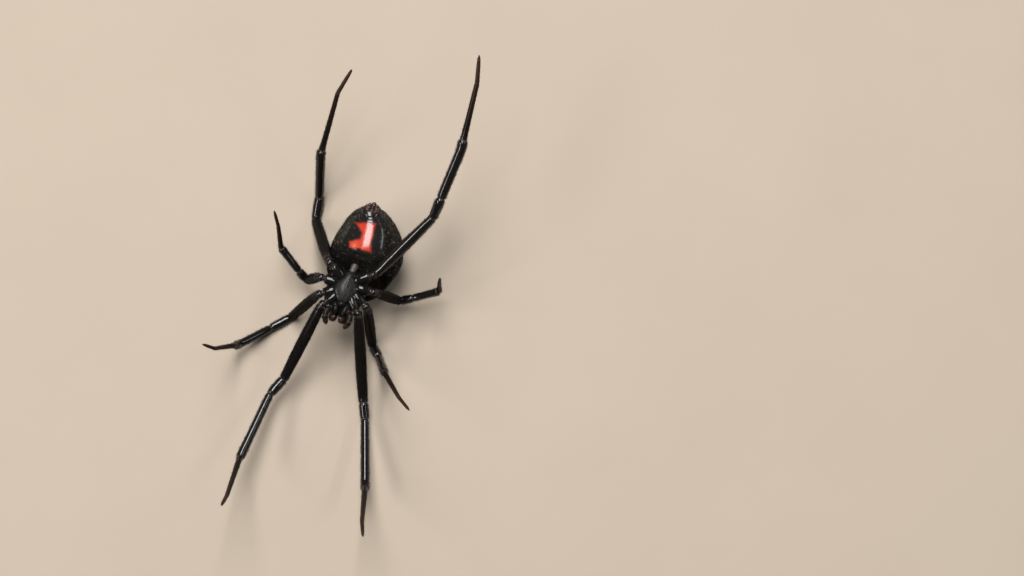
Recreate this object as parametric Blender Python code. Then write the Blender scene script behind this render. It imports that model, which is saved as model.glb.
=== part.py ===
# Female black widow spider, life size, lying belly up with its legs as in a hanging rest.
# The head points to -Y, the spinnerets to +Y and the belly to +Z, so the animal's right is +X.
# Named sizes are millimetres in the body's own frame: the sternum's centre is at x = 0, y = 0,
# and z counts up from the floor. to_model() turns them into metres in the model's frame.

import math

import bmesh
import bpy
from mathutils import Matrix, Vector

MM = 0.001
MODEL_ORIGIN = Vector((-1.11, -0.45, 0.0))  # the middle of the whole animal's plan, in body mm
GAP = 0.25  # left between the lengths of a leg
CUT_GAP = 0.3  # left where a node is cut to the shape of what it grows from
THINNEST = 0.25  # least radius of a leg, apart from its tip

# Cephalothorax
CARAPACE_HALF_WIDTH = 2.05
CARAPACE_FRONT = -2.75
CARAPACE_REAR = 2.0
CARAPACE_WIDEST_AT = 0.35
CARAPACE_RIM = 5.6  # height of the edge, where the back shell meets the underside
CARAPACE_BACK = 1.3  # how far the back shell bulges down from the rim
CARAPACE_UNDERSIDE = 0.75  # how far the underside bulges up from the rim
HEAD_NARROWING = 0.28
HEAD_BLUNTNESS = 0.66  # below 1 the front is squarer than a ball's
SHELL_SQUARENESS = 0.85
HEAD_SWELLING = 0.16  # how much further the head bulges than the rest, as a share
GROOVE_AT, GROOVE_DEPTH = 0.5, 0.16  # the dimple across the middle of the back
STERNUM_TOP = 6.92
STERNUM_RISE = 0.62
STERNUM_FRONT = -1.5
STERNUM_REAR = 1.75
STERNUM_HALF_WIDTH = 1.28
COXA_RADIUS = 0.56
COXA_SWELLING = (0.5, 0.84, 0.99, 1.03, 0.98, 0.88)  # shares of that radius from the root to the hip
LIP_RADII = Vector((0.42, 0.36, 0.3))
PLATE_RADII = Vector((0.36, 0.34, 0.72))
EYE_RADIUS = 0.13
EYE_ROWS = {  # across the face: row name to (distances from the middle, height of the row)
    "front": ((0.2, 0.62), 4.95),
    "rear": ((0.25, 0.74), 4.6),
}

# Abdomen: an egg along Y, higher at the belly, with a hollowed shoulder below the carapace
ABDOMEN_WIDEST_AT = 3.35
ABDOMEN_FRONT_LENGTH = 3.65
ABDOMEN_REAR_LENGTH = 5.75
ABDOMEN_HALF_WIDTH = 3.74
ABDOMEN_LEFT_EXTRA = 0.1  # the left side reaches this much further out
ABDOMEN_FRONT_FLATNESS = 0.2  # the share by which the right side is drawn in at the front
FLAT_FROM, FLAT_TO = 1.5, 5.0
ABDOMEN_SIDE_SHIFT = 0.9  # the bulk hangs towards the animal's right
ABDOMEN_TAIL_SHIFT = 0.5  # and comes back by this much at the tail
ABDOMEN_AXIS_FRONT = 2.4  # height of the egg's axis at its front and at its tail
ABDOMEN_AXIS_TAIL = 4.65
ABDOMEN_BELLY = 3.92
ABDOMEN_BACK = 3.42
SHOULDER_HOLLOW = 0.68
SHOULDER_FROM, SHOULDER_TO = 1.2, 4.1
ABDOMEN_RINGS, ABDOMEN_SIDES = 26, 40

PEDICEL_RADIUS = 0.36
PEDICEL_Z = 5.5
SPINNERET_CENTRE = Vector((0.31, 8.27, 6.4))
SPINNERET_AXIS = Vector((0.02, 0.54, 0.84))
COLLAR_RADII = Vector((1.05, 1.05, 0.52))
CONE_RADII = (0.27, 0.24, 0.12)  # at the root, halfway and at the tip
TUBERCLE_RADII = Vector((0.3, 0.3, 0.4))

# Jaws and feelers: knots along the animal's right one and the radius at each
JAW_KNOTS = ((0.53, -2.25, 5.45), (0.55, -2.92, 5.85), (0.5, -3.2, 6.45), (0.42, -3.3, 6.9))
JAW_RADII = (0.38, 0.42, 0.37, 0.26)
FANG_KNOTS = ((0.46, -3.26, 6.8), (0.39, -3.18, 7.1), (0.25, -3.05, 7.15))
FANG_RADII = (0.15, 0.11, 0.05)
PALP_KNOTS = (
    (0.85, -2.2, 6.72), (1.14, -2.6, 7.0), (1.24, -3.0, 7.12),
    (1.18, -3.45, 7.06), (1.04, -3.76, 6.8), (0.92, -3.92, 6.48),
)
PALP_RADII = (0.26, 0.29, 0.27, 0.28, 0.25, 0.15)

# Legs. Lengths are shares of the front leg's femur with its trochanter, as in the species, and girths
# are shares of the front leg's.
FRONT_LEG_UNIT = 9.4
LEG_LENGTHS = {
    1: {"femur": 0.94, "patella": 0.22, "tibia": 0.82, "metatarsus": 1.02, "tarsus": 0.34},
    2: {"femur": 0.715, "patella": 0.20, "tibia": 0.48, "metatarsus": 0.62, "tarsus": 0.26},
    3: {"femur": 0.53, "patella": 0.16, "tibia": 0.32, "metatarsus": 0.42, "tarsus": 0.22},
    4: {"femur": 0.89, "patella": 0.22, "tibia": 0.58, "metatarsus": 0.76, "tarsus": 0.29},
}
LEG_GIRTHS = {1: 1.0, 2: 0.92, 3: 0.9, 4: 0.98}
SEGMENTS = ("femur", "patella", "tibia", "metatarsus", "tarsus")
TROCHANTER_LENGTH = 0.6
KNEE_ARC = 0.56  # radius on which the middle of the front leg turns at a joint
COXA_SEATS = {  # where each coxa leaves the edge of the sternum, on the animal's right
    1: Vector((0.85, -0.95, 6.25)),
    2: Vector((1.15, -0.45, 6.25)),
    3: Vector((1.2, 0.4, 6.25)),
    4: Vector((0.85, 1.15, 6.3)),
}
HIPS = {  # where each coxa ends
    1: Vector((1.55, -1.8, 6.25)),
    2: Vector((2.08, -1.0, 6.2)),
    3: Vector((2.35, 0.44, 6.25)),
    4: Vector((1.95, 1.88, 6.5)),
}
# The pose: heading in the plan (0 is the animal's right, -90 is forwards) and climb towards the belly
# side, in degrees, of each length of each leg.
LEG_POSES = {
    (1, "left"): ((-103.5, -28), (-114.5, 9), (-97.5, 15), (-85.5, 57.5), (-91.5, 62.5)),
    (1, "right"): ((-71, -33), (-68, -8), (-73.5, 16), (-76, 60), (-70, 54.5)),
    (2, "left"): ((-139.5, -63), (-135, 3), (-133, 19.5), (-134, 64.5), (-166, 63)),
    (2, "right"): ((-65.5, -65.5), (-46.5, 38.5), (-58.5, 58.5), (-49.5, 52), (-39.5, 41)),
    (3, "left"): ((175.5, -73.5), (151.5, 43.5), (145, 20), (113.5, 66.5), (123, 53)),
    (3, "right"): ((14, -61), (23.5, 29.5), (26, 27.5), (70, 89), (85, 84.5)),
    (4, "left"): ((121, -48.5), (96, 10.5), (103, 44), (88, 36.5), (73, 20)),
    (4, "right"): ((58, 22), (80, 42), (83, 11), (91.5, 23.5), (101.5, 13.5)),
}
LEG_PROFILE = (  # (segment + share of its length, radius on the front leg in mm)
    (-0.2, 0.43), (0.0, 0.45), (0.15, 0.52), (0.4, 0.57), (0.7, 0.55), (0.92, 0.48), (1.0, 0.47),
    (1.5, 0.50), (1.85, 0.46), (2.0, 0.39), (2.1, 0.43), (2.45, 0.43), (2.8, 0.445), (2.96, 0.47),
    (3.02, 0.35), (3.1, 0.32), (3.5, 0.27), (4.0, 0.25), (4.5, 0.25), (4.75, 0.22), (5.0, 0.12),
)
KNEE, ANKLE = 1, 3  # the leg is parted just before its bends at the knee and at the end of the tibia

COLOURS = {  # base colour, roughness
    "cuticle": ((0.010, 0.009, 0.009, 1.0), 0.22),
    "abdomen": ((0.007, 0.007, 0.008, 1.0), 0.16),
    "spinneret": ((0.12, 0.055, 0.045, 1.0), 0.35),
    "mouthparts": ((0.035, 0.012, 0.008, 1.0), 0.3),
    "foot": ((0.020, 0.014, 0.010, 1.0), 0.32),
}


def to_model(point):
    return (Vector(point) - MODEL_ORIGIN) * MM


def side_of(point, side):
    return Vector((point.x if side == "right" else -point.x, point.y, point.z))


def smooth_step(low, high, value):
    t = min(max((value - low) / (high - low), 0.0), 1.0)
    return t * t * (3 - 2 * t)


def direction(heading, climb):
    h, c = math.radians(heading), math.radians(climb)
    return Vector((math.cos(h) * math.cos(c), math.sin(h) * math.cos(c), math.sin(c)))


def interpolate(profile, at):
    for (a, low), (b, high) in zip(profile, profile[1:]):
        if at <= b:
            return low + (high - low) * max(at - a, 0.0) / (b - a)
    return profile[-1][1]


def clear_scene():
    for obj in list(bpy.data.objects):
        bpy.data.objects.remove(obj, do_unlink=True)


def new_collection(name, hidden=False):
    collection = bpy.data.collections.new(name)
    collection.hide_render = hidden
    bpy.context.scene.collection.children.link(collection)
    return collection


def new_material(name):
    colour, roughness = COLOURS[name]
    material = bpy.data.materials.new(name)
    material.use_nodes = True
    shader = material.node_tree.nodes["Principled BSDF"]
    shader.inputs["Base Color"].default_value = colour
    shader.inputs["Roughness"].default_value = roughness
    shader.inputs["Metallic"].default_value = 0.0
    material.diffuse_color = colour
    return material


def add_object(name, mesh, collection, material):
    obj = bpy.data.objects.new(name, mesh)
    collection.objects.link(obj)
    obj.data.materials.clear()
    obj.data.materials.append(material)
    return obj


def mesh_from(bm, name):
    bmesh.ops.recalc_face_normals(bm, faces=bm.faces)
    if bm.calc_volume(signed=True) < 0:
        bmesh.ops.reverse_faces(bm, faces=bm.faces)
    mesh = bpy.data.meshes.new(name)
    bm.to_mesh(mesh)
    bm.free()
    mesh.shade_smooth()
    return mesh


def largest_surface(mesh):
    """Keeps the biggest closed surface, which drops loose scraps and fills sealed hollows."""
    bm = bmesh.new()
    bm.from_mesh(mesh)
    left, shells = set(bm.faces), []
    while left:
        shell, edge_of = set(), [next(iter(left))]
        while edge_of:
            face = edge_of.pop()
            if face in shell:
                continue
            shell.add(face)
            edge_of.extend(f for e in face.edges for f in e.link_faces if f not in shell)
        shells.append(shell)
        left -= shell
    shells.sort(key=lambda shell: sum(face.calc_area() for face in shell), reverse=True)
    scraps = [face for shell in shells[1:] for face in shell]
    bmesh.ops.delete(bm, geom=scraps, context="FACES")
    bm.to_mesh(mesh)
    bm.free()


def applied(obj):
    """The object with its modifiers applied to its mesh."""
    bpy.context.view_layer.update()
    graph = bpy.context.evaluated_depsgraph_get()
    mesh = bpy.data.meshes.new_from_object(obj.evaluated_get(graph))
    obj.modifiers.clear()
    obj.data = mesh
    return obj


def union(base, pieces):
    """Joins the pieces to the base by one Boolean on their collection, and removes them."""
    joined = new_collection("joined", hidden=True)
    for piece in pieces:
        joined.objects.link(piece)
    boolean = base.modifiers.new("union", "BOOLEAN")
    boolean.operation = "UNION"
    boolean.operand_type = "COLLECTION"
    boolean.collection = joined
    boolean.solver = "EXACT"
    applied(base)
    for piece in pieces:
        bpy.data.objects.remove(piece, do_unlink=True)
    bpy.data.collections.remove(joined)
    largest_surface(base.data)
    base.data.shade_smooth()
    return base


def tube(name, points, radii, sides_setting, collection, material):
    """A closed tube through the points (body mm), made as a bevelled curve and turned into a mesh."""
    curve = bpy.data.curves.new(name, "CURVE")
    curve.dimensions = "3D"
    curve.bevel_depth = MM
    curve.bevel_resolution = sides_setting
    curve.use_fill_caps = True
    spline = curve.splines.new("POLY")
    spline.points.add(len(points) - 1)
    for knot, point, radius in zip(spline.points, points, radii):
        knot.co = (*to_model(point), 1.0)
        knot.radius = radius
    guide = bpy.data.objects.new(name + "_path", curve)
    collection.objects.link(guide)
    bpy.context.view_layer.update()
    graph = bpy.context.evaluated_depsgraph_get()
    mesh = bpy.data.meshes.new_from_object(guide.evaluated_get(graph))
    bpy.data.objects.remove(guide, do_unlink=True)
    bm = bmesh.new()
    bm.from_mesh(mesh)
    bpy.data.meshes.remove(mesh)
    bmesh.ops.remove_doubles(bm, verts=bm.verts, dist=1e-6)
    return add_object(name, mesh_from(bm, name), collection, material)


def ball(name, centre, radii, collection, material, segments=16, rings=10, turn=None):
    """An ellipsoid with its centre and radii in body mm, turned so that its own Z lies along turn."""
    bm = bmesh.new()
    bmesh.ops.create_uvsphere(bm, u_segments=segments, v_segments=rings, radius=1.0)
    turned = turn.to_track_quat("Z", "Y").to_matrix().to_4x4() if turn else Matrix()
    place = Matrix.Translation(to_model(centre)) @ turned @ Matrix.Diagonal((*(Vector(radii) * MM), 1.0))
    bm.transform(place)
    return add_object(name, mesh_from(bm, name), collection, material)


def cut_clear(obj, cutters):
    """Takes away from an object what reaches into a collection of closed cutters."""
    boolean = obj.modifiers.new("clearance", "BOOLEAN")
    boolean.operation = "DIFFERENCE"
    boolean.operand_type = "COLLECTION"
    boolean.collection = cutters
    boolean.solver = "EXACT"
    applied(obj)
    largest_surface(obj.data)
    return obj


def grow_as_cutter(obj):
    """Moves each vertex out along its normal by the gap, and hides the object from renders."""
    normals = [vertex.normal.copy() for vertex in obj.data.vertices]
    for vertex, normal in zip(obj.data.vertices, normals):
        vertex.co += normal * CUT_GAP * MM
    obj.hide_render = True
    obj.display_type = "WIRE"


def rest_on_floor(obj):
    """Cuts whatever dips below the floor off flat, which leaves the small flats the model rests on."""
    bm = bmesh.new()
    bm.from_mesh(obj.data)
    if min(vertex.co.z for vertex in bm.verts) < 0.0:
        everything = bm.verts[:] + bm.edges[:] + bm.faces[:]
        cut = bmesh.ops.bisect_plane(
            bm, geom=everything, dist=1e-7, plane_co=(0, 0, 0), plane_no=(0, 0, 1), clear_inner=True
        )
        rim = [item for item in cut["geom_cut"] if isinstance(item, bmesh.types.BMEdge)]
        bmesh.ops.contextual_create(bm, geom=rim)
        bmesh.ops.recalc_face_normals(bm, faces=bm.faces)
        bm.to_mesh(obj.data)
    bm.free()


def back_bulge(along):
    """How far the back shell bulges down at a place along the body."""
    return CARAPACE_BACK * (0.9 + HEAD_SWELLING * smooth_step(0.3, -1.3, along))


def carapace(collection, material):
    """The back shell with its underside: a squashed ball, narrowed to the head and blunt in front."""
    bm = bmesh.new()
    bmesh.ops.create_uvsphere(bm, u_segments=36, v_segments=22, radius=1.0)
    front = CARAPACE_WIDEST_AT - CARAPACE_FRONT
    rear = CARAPACE_REAR - CARAPACE_WIDEST_AT
    for vertex in bm.verts:
        x, y, z = vertex.co
        along = CARAPACE_WIDEST_AT + (y * rear if y > 0 else -abs(y) ** HEAD_BLUNTNESS * front)
        across = x * CARAPACE_HALF_WIDTH * (1.0 - smooth_step(0.6, -2.2, along) * HEAD_NARROWING)
        bulge = CARAPACE_UNDERSIDE
        if z < 0:
            groove = math.exp(-(((along - GROOVE_AT) / 0.35) ** 2) - (x / 0.45) ** 2)
            bulge = back_bulge(along) - GROOVE_DEPTH * groove
        squarer = math.copysign(abs(z) ** SHELL_SQUARENESS, z)
        vertex.co = to_model((across, along, CARAPACE_RIM + squarer * bulge))
    return add_object("carapace", mesh_from(bm, "carapace"), collection, material)


def face_at(across, height):
    """The place on the front of the head at a distance from the middle and a height."""
    down = ((CARAPACE_RIM - height) / back_bulge(CARAPACE_FRONT)) ** (1 / SHELL_SQUARENESS)
    aside = across / (CARAPACE_HALF_WIDTH * (1.0 - HEAD_NARROWING))
    forward = math.sqrt(1.0 - down * down - aside * aside) ** HEAD_BLUNTNESS
    along = CARAPACE_WIDEST_AT - forward * (CARAPACE_WIDEST_AT - CARAPACE_FRONT)
    return Vector((across, along, height))


def sternum(collection, material):
    """The breastplate: a low shield, broad in front and pointed between the last coxae."""
    bm = bmesh.new()
    bmesh.ops.create_uvsphere(bm, u_segments=28, v_segments=14, radius=1.0)
    middle = (STERNUM_FRONT + STERNUM_REAR) / 2
    half_length = (STERNUM_REAR - STERNUM_FRONT) / 2
    for vertex in bm.verts:
        x, y, z = vertex.co
        taper = 1.0 - 0.55 * smooth_step(-0.2, 1.0, y)
        across = x * STERNUM_HALF_WIDTH * taper
        height = STERNUM_TOP + (z - 1.0) * STERNUM_RISE
        vertex.co = to_model((across, middle + y * half_length, height))
    return add_object("sternum", mesh_from(bm, "sternum"), collection, material)


def coxa(number, side, collection, material):
    seat, hip = side_of(COXA_SEATS[number], side), side_of(HIPS[number], side)
    along = (hip - seat).normalized()
    girth = 0.5 + 0.5 * LEG_GIRTHS[number]
    middle = (seat + hip) / 2
    knots = (seat - along * 0.5, seat - along * 0.1, seat + along * 0.25, middle, hip - along * 0.2, hip)
    radii = [COXA_RADIUS * girth * share for share in COXA_SWELLING]
    return tube(f"coxa_{number}_{side}", knots, radii, 4, collection, material)


def mouth_plates(collection, material):
    """The lip and the two plates beside it, in front of the breastplate."""
    plates = [ball("lip", (0, -1.62, 6.55), LIP_RADII, collection, material, 14, 8)]
    for side in ("left", "right"):
        centre = side_of(Vector((0.52, -2.12, 6.42)), side)
        leaning = side_of(Vector((-0.25, -1.0, 0.1)), side)
        plate = ball("plate_" + side, centre, PLATE_RADII, collection, material, 14, 10, leaning)
        plates.append(plate)
    return plates


def body_clearance(cutters, material):
    """The cephalothorax grown by the gap, which cuts its neighbours' roots to meet it face to face."""
    pieces = [carapace(cutters, material), sternum(cutters, material)]
    pieces += mouth_plates(cutters, material)
    pieces += [coxa(4, side, cutters, material) for side in ("left", "right")]
    for piece in pieces:
        piece.name = "clearance_" + piece.name
        grow_as_cutter(piece)


def eyes(collection, material):
    """Two rows of four small domes across the face."""
    domes = []
    for row, (distances, height) in EYE_ROWS.items():
        for distance in distances:
            for side in ("left", "right"):
                place = side_of(face_at(distance, height), side)
                dome = ball(f"eye_{row}", place, (EYE_RADIUS,) * 3, collection, material, 10, 8)
                domes.append(dome)
    return domes


def cephalothorax(parts, materials):
    body = carapace(parts, materials["cuticle"])
    body.name = "cephalothorax"
    pieces = [sternum(parts, materials["cuticle"])]
    for number in HIPS:
        for side in ("left", "right"):
            pieces.append(coxa(number, side, parts, materials["cuticle"]))
    pieces += mouth_plates(parts, materials["cuticle"])
    pieces += eyes(parts, materials["cuticle"])
    return union(body, pieces)


def abdomen_point(along, around):
    """A point on the abdomen. along runs 0 to pi from front to tail; around starts at the animal's right
    and passes the belly at pi / 2."""
    reach = ABDOMEN_FRONT_LENGTH if along < math.pi / 2 else ABDOMEN_REAR_LENGTH
    y = ABDOMEN_WIDEST_AT - math.cos(along) * reach
    share = (y - ABDOMEN_WIDEST_AT + ABDOMEN_FRONT_LENGTH) / (ABDOMEN_FRONT_LENGTH + ABDOMEN_REAR_LENGTH)
    axis = ABDOMEN_AXIS_FRONT + (ABDOMEN_AXIS_TAIL - ABDOMEN_AXIS_FRONT) * share
    belly = ABDOMEN_BELLY * (1.0 - SHOULDER_HOLLOW * (1.0 - smooth_step(SHOULDER_FROM, SHOULDER_TO, y)))
    height = belly if math.sin(around) > 0 else ABDOMEN_BACK
    shift = ABDOMEN_SIDE_SHIFT - ABDOMEN_TAIL_SHIFT * smooth_step(6.0, 9.4, y)
    half_width = ABDOMEN_HALF_WIDTH + ABDOMEN_LEFT_EXTRA
    if math.cos(around) > 0:
        flatness = ABDOMEN_FRONT_FLATNESS * (1.0 - smooth_step(FLAT_FROM, FLAT_TO, y))
        half_width = ABDOMEN_HALF_WIDTH * (1.0 - flatness)
    x = shift + math.sin(along) * math.cos(around) * half_width
    return Vector((x, y, axis + math.sin(along) * math.sin(around) * height))


def abdomen_surface(name, collection, material):
    """A ball with its poles at the front and the tail, each vertex moved onto the abdomen's surface."""
    bm = bmesh.new()
    bmesh.ops.create_uvsphere(bm, u_segments=ABDOMEN_SIDES, v_segments=ABDOMEN_RINGS, radius=1.0)
    for vertex in bm.verts:
        along = math.acos(min(max(-vertex.co.z, -1.0), 1.0))
        around = math.atan2(vertex.co.y, vertex.co.x)
        vertex.co = to_model(abdomen_point(along, around))
    return add_object(name, mesh_from(bm, name), collection, material)


def abdomen(parts, materials):
    body = abdomen_surface("abdomen", parts, materials["abdomen"])
    rest_on_floor(body)
    return body


def pedicel(parts, materials, body_cutters, abdomen_cutters):
    """The narrow waist, from the rear of the cephalothorax to the abdomen's shoulder."""
    knots = ((0.0, 1.2, PEDICEL_Z), (0.05, 2.2, PEDICEL_Z), (0.15, 3.4, PEDICEL_Z - 0.1))
    waist = tube("pedicel", knots, (PEDICEL_RADIUS,) * 3, 4, parts, materials["cuticle"])
    cut_clear(waist, abdomen_cutters)
    return cut_clear(waist, body_cutters)


def spinnerets(parts, materials, abdomen_cutters):
    """Six short cones round a small one, on a low collar at the tail end of the belly."""
    axis = SPINNERET_AXIS.normalized()
    out = Vector((1, 0, 0))
    up = axis.cross(out).normalized()
    material = materials["spinneret"]
    collar = ball("spinnerets", SPINNERET_CENTRE, COLLAR_RADII, parts, material, 24, 12, axis)
    cones = []
    for index in range(6):
        angle = math.radians(30 + 60 * index)
        lean = out * math.cos(angle) + up * math.sin(angle)
        root = SPINNERET_CENTRE + axis * 0.25 + lean * 0.42
        tip = SPINNERET_CENTRE + axis * 0.85 + lean * 0.34
        knots = (root, (root + tip) / 2, tip)
        cones.append(tube(f"cone_{index}", knots, CONE_RADII, 2, parts, material))
    tubercle = SPINNERET_CENTRE + axis * 0.2 + up * 0.72
    cones.append(ball("tubercle", tubercle, TUBERCLE_RADII, parts, material, 12, 8, axis))
    union(collar, cones)
    return cut_clear(collar, abdomen_cutters)


def rounded_path(joints, arc, spacing=1.15):
    """Points along the joints with each bend turned on an arc. Gives (point, place) pairs, where place
    is the number of the length plus the share of it that is passed, and -1 to 0 is the trochanter, and
    the place a gap before each bend."""
    lengths = [(b - a).length for a, b in zip(joints, joints[1:])]
    headings = [(b - a).normalized() for a, b in zip(joints, joints[1:])]
    backs = [0.0]
    for into, out, before, after in zip(headings, headings[1:], lengths, lengths[1:]):
        half_turn = into.angle(out) / 2
        backs.append(min(max(0.2, arc * math.tan(half_turn)), 0.46 * before, 0.46 * after))
    backs.append(0.0)
    path = []
    for index, (start, heading, length) in enumerate(zip(joints, headings, lengths)):
        begin, end = backs[index], length - backs[index + 1]
        steps = max(1, round((end - begin) / spacing))
        for step in range(steps + 1):
            at = begin + (end - begin) * step / steps
            path.append((start + heading * at, index - 1 + at / length))
        if index + 1 < len(headings):
            path += bend(joints[index + 1], heading, headings[index + 1], backs[index + 1],
                         index, length, lengths[index + 1])
    bend_starts = [index - (backs[index + 1] + GAP) / length for index, length in enumerate(lengths)]
    return path, bend_starts


def bend(corner, into, out, back, index, before, after):
    """The inner points of the arc that turns from one heading to the next at a corner."""
    turn = into.angle(out)
    steps = max(2, math.ceil(math.degrees(turn) / 22))
    if turn < 0.02:
        return []
    axis = into.cross(out).normalized()
    radius = back / math.tan(turn / 2)
    first = corner - into * back
    centre = first + axis.cross(into) * radius
    points = []
    for step in range(1, steps):
        share = step / steps
        arm = Matrix.Rotation(turn * share, 3, axis) @ (first - centre)
        place = -back / before * (1 - 2 * share) if share < 0.5 else back / after * (2 * share - 1)
        points.append((centre + arm, index + place))
    return points


def point_at(path, place):
    for (a, low), (b, high) in zip(path, path[1:]):
        if low <= place <= high:
            return a.lerp(b, (place - low) / (high - low)) if high > low else a
    return path[-1][0]


def stretch(path, low, high, trim_low, trim_high):
    """The part of a path between two places, shortened at each end by half a gap."""
    middle = [(p, at) for p, at in path if low + 1e-6 < at < high - 1e-6]
    points = [(point_at(path, low), low)] + middle + [(point_at(path, high), high)]
    for end, trim in ((0, trim_low), (-1, trim_high)):
        while trim and (points[end][0] - points[1 if end == 0 else -2][0]).length < trim + 0.12:
            points.pop(1 if end == 0 else -2)
        inward = (points[1 if end == 0 else -2][0] - points[end][0]).normalized()
        points[end] = (points[end][0] + inward * trim, points[end][1])
    return points


def leg(number, side, parts, materials):
    """One leg in three lengths, parted before the knee and at the end of the tibia."""
    seat, hip = side_of(COXA_SEATS[number], side), side_of(HIPS[number], side)
    outward = (hip - seat).normalized()
    joints = [hip + outward * GAP / 2, hip + outward * TROCHANTER_LENGTH]
    for segment, (heading, climb) in zip(SEGMENTS, LEG_POSES[number, side]):
        length = LEG_LENGTHS[number][segment] * FRONT_LEG_UNIT
        joints.append(joints[-1] + direction(heading, climb) * length)
    path, bend_starts = rounded_path(joints, KNEE_ARC * LEG_GIRTHS[number])
    splits = {
        "femur": (-1.0, bend_starts[KNEE]),
        "tibia": (bend_starts[KNEE], bend_starts[ANKLE]),
        "foot": (bend_starts[ANKLE], 5.0),
    }
    nodes = []
    for part, (low, high) in splits.items():
        trim_high = 0.0 if part == "foot" else GAP / 2
        points = stretch(path, low, high, GAP / 2, trim_high)
        radii = []
        for point, at in points:
            radius = interpolate(LEG_PROFILE, at) * LEG_GIRTHS[number]
            radii.append(radius if at > 4.6 else max(radius, THINNEST))
        material = materials["foot" if part == "foot" else "cuticle"]
        name = f"leg_{number}_{side}_{part}"
        node = tube(name, [point for point, at in points], radii, 3, parts, material)
        rest_on_floor(node)
        nodes.append(node)
    return nodes


def chelicera(side, parts, materials, body_cutters):
    """A stout jaw that hangs from the face, with a short fang folded inwards at its tip."""
    material = materials["mouthparts"]
    knots = [side_of(Vector(knot), side) for knot in JAW_KNOTS]
    jaw = tube("chelicera_" + side, knots, JAW_RADII, 4, parts, material)
    hook = [side_of(Vector(knot), side) for knot in FANG_KNOTS]
    union(jaw, [tube("fang_" + side, hook, FANG_RADII, 2, parts, material)])
    return cut_clear(jaw, body_cutters)


def palp(side, parts, materials, body_cutters):
    """A feeler beside the jaws, in one piece from its second joint to its tip."""
    knots = [side_of(Vector(knot), side) for knot in PALP_KNOTS]
    feeler = tube("palp_" + side, knots, PALP_RADII, 3, parts, materials["mouthparts"])
    return cut_clear(feeler, body_cutters)


def main():
    clear_scene()
    parts = new_collection("black_widow_spider")
    body_cutters = new_collection("body_cutters", hidden=True)
    abdomen_cutters = new_collection("abdomen_cutters", hidden=True)
    materials = {name: new_material(name) for name in COLOURS}
    cephalothorax(parts, materials)
    abdomen(parts, materials)
    body_clearance(body_cutters, materials["cuticle"])
    grow_as_cutter(abdomen_surface("clearance_abdomen", abdomen_cutters, materials["abdomen"]))
    pedicel(parts, materials, body_cutters, abdomen_cutters)
    spinnerets(parts, materials, abdomen_cutters)
    for side in ("left", "right"):
        chelicera(side, parts, materials, body_cutters)
        palp(side, parts, materials, body_cutters)
        for number in HIPS:
            leg(number, side, parts, materials)


main()
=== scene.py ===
# A grown female black widow spider, life size, lying belly up in the pose of a hanging rest.
# The head points to -Y, the belly to +Z and the animal's right to +X.
import math

import bpy
import numpy as np
from mathutils import Matrix, Vector
from mathutils.kdtree import KDTree


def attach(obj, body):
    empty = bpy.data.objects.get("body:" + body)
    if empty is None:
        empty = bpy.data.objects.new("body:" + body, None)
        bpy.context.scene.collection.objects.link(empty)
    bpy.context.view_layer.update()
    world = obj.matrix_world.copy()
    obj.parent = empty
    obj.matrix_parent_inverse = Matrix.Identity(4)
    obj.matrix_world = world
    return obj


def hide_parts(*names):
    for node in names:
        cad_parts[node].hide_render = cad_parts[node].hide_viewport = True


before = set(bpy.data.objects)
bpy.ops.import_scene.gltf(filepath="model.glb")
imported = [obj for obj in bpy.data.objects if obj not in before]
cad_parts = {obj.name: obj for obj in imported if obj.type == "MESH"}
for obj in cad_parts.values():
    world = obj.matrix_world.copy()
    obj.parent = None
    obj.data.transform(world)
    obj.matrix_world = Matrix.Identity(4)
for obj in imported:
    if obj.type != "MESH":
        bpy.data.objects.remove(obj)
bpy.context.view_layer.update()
print("frame loaded:", len(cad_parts), "nodes")

# Sizes are millimetres in the body's own frame: the sternum's centre is x = 0, y = 0, and z counts up
# from the floor. Each leg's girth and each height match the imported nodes.
millimetre = 0.001
modelOrigin = np.array((-1.11, -0.45, 0.0))
chance = np.random.default_rng(27)


def toModel(points):
    return (np.asarray(points, float) - modelOrigin) * millimetre


def sideOf(point, side):
    return np.array((point[0] if side == "right" else -point[0], point[1], point[2]), float)


def smoothStep(low, high, value):
    t = np.clip((np.asarray(value, float) - low) / (high - low), 0.0, 1.0)
    return t * t * (3 - 2 * t)


def unit(vectors):
    vectors = np.asarray(vectors, float)
    return vectors / np.maximum(np.linalg.norm(vectors, axis=-1, keepdims=True), 1e-12)


def readPoints(piece):
    points = np.empty(len(piece.data.vertices) * 3)
    piece.data.vertices.foreach_get("co", points)
    return points.reshape(-1, 3)


def writePoints(piece, points):
    piece.data.vertices.foreach_set("co", np.asarray(points, float).ravel())
    piece.data.update()


def addBall(name, sides, rings):
    bpy.ops.object.select_all(action="DESELECT")
    bpy.ops.mesh.primitive_uv_sphere_add(segments=sides, ring_count=rings, radius=1.0)
    piece = bpy.context.active_object
    piece.name = name
    return piece


# What each vertex of the flesh is part of, kept for the skin's colours and for the lie of its hairs
notes = {"point": [], "kind": [], "membrane": [], "place": [], "flow": []}
kinds = ["cuticle", "abdomen", "sternum", "spinneret", "mouth", "waist"]
flesh = []


def noteFlesh(piece, kind, flow=(0, 1, 0), membrane=0.0, place=-2.0):
    points = readPoints(piece)
    count = len(points)
    notes["point"].append(points)
    notes["kind"].append(np.full(count, kinds.index(kind)))
    notes["membrane"].append(np.broadcast_to(np.asarray(membrane, float), (count,)))
    notes["place"].append(np.broadcast_to(np.asarray(place, float), (count,)))
    notes["flow"].append(np.broadcast_to(np.asarray(flow, float), (count, 3)))
    flesh.append(piece)


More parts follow.
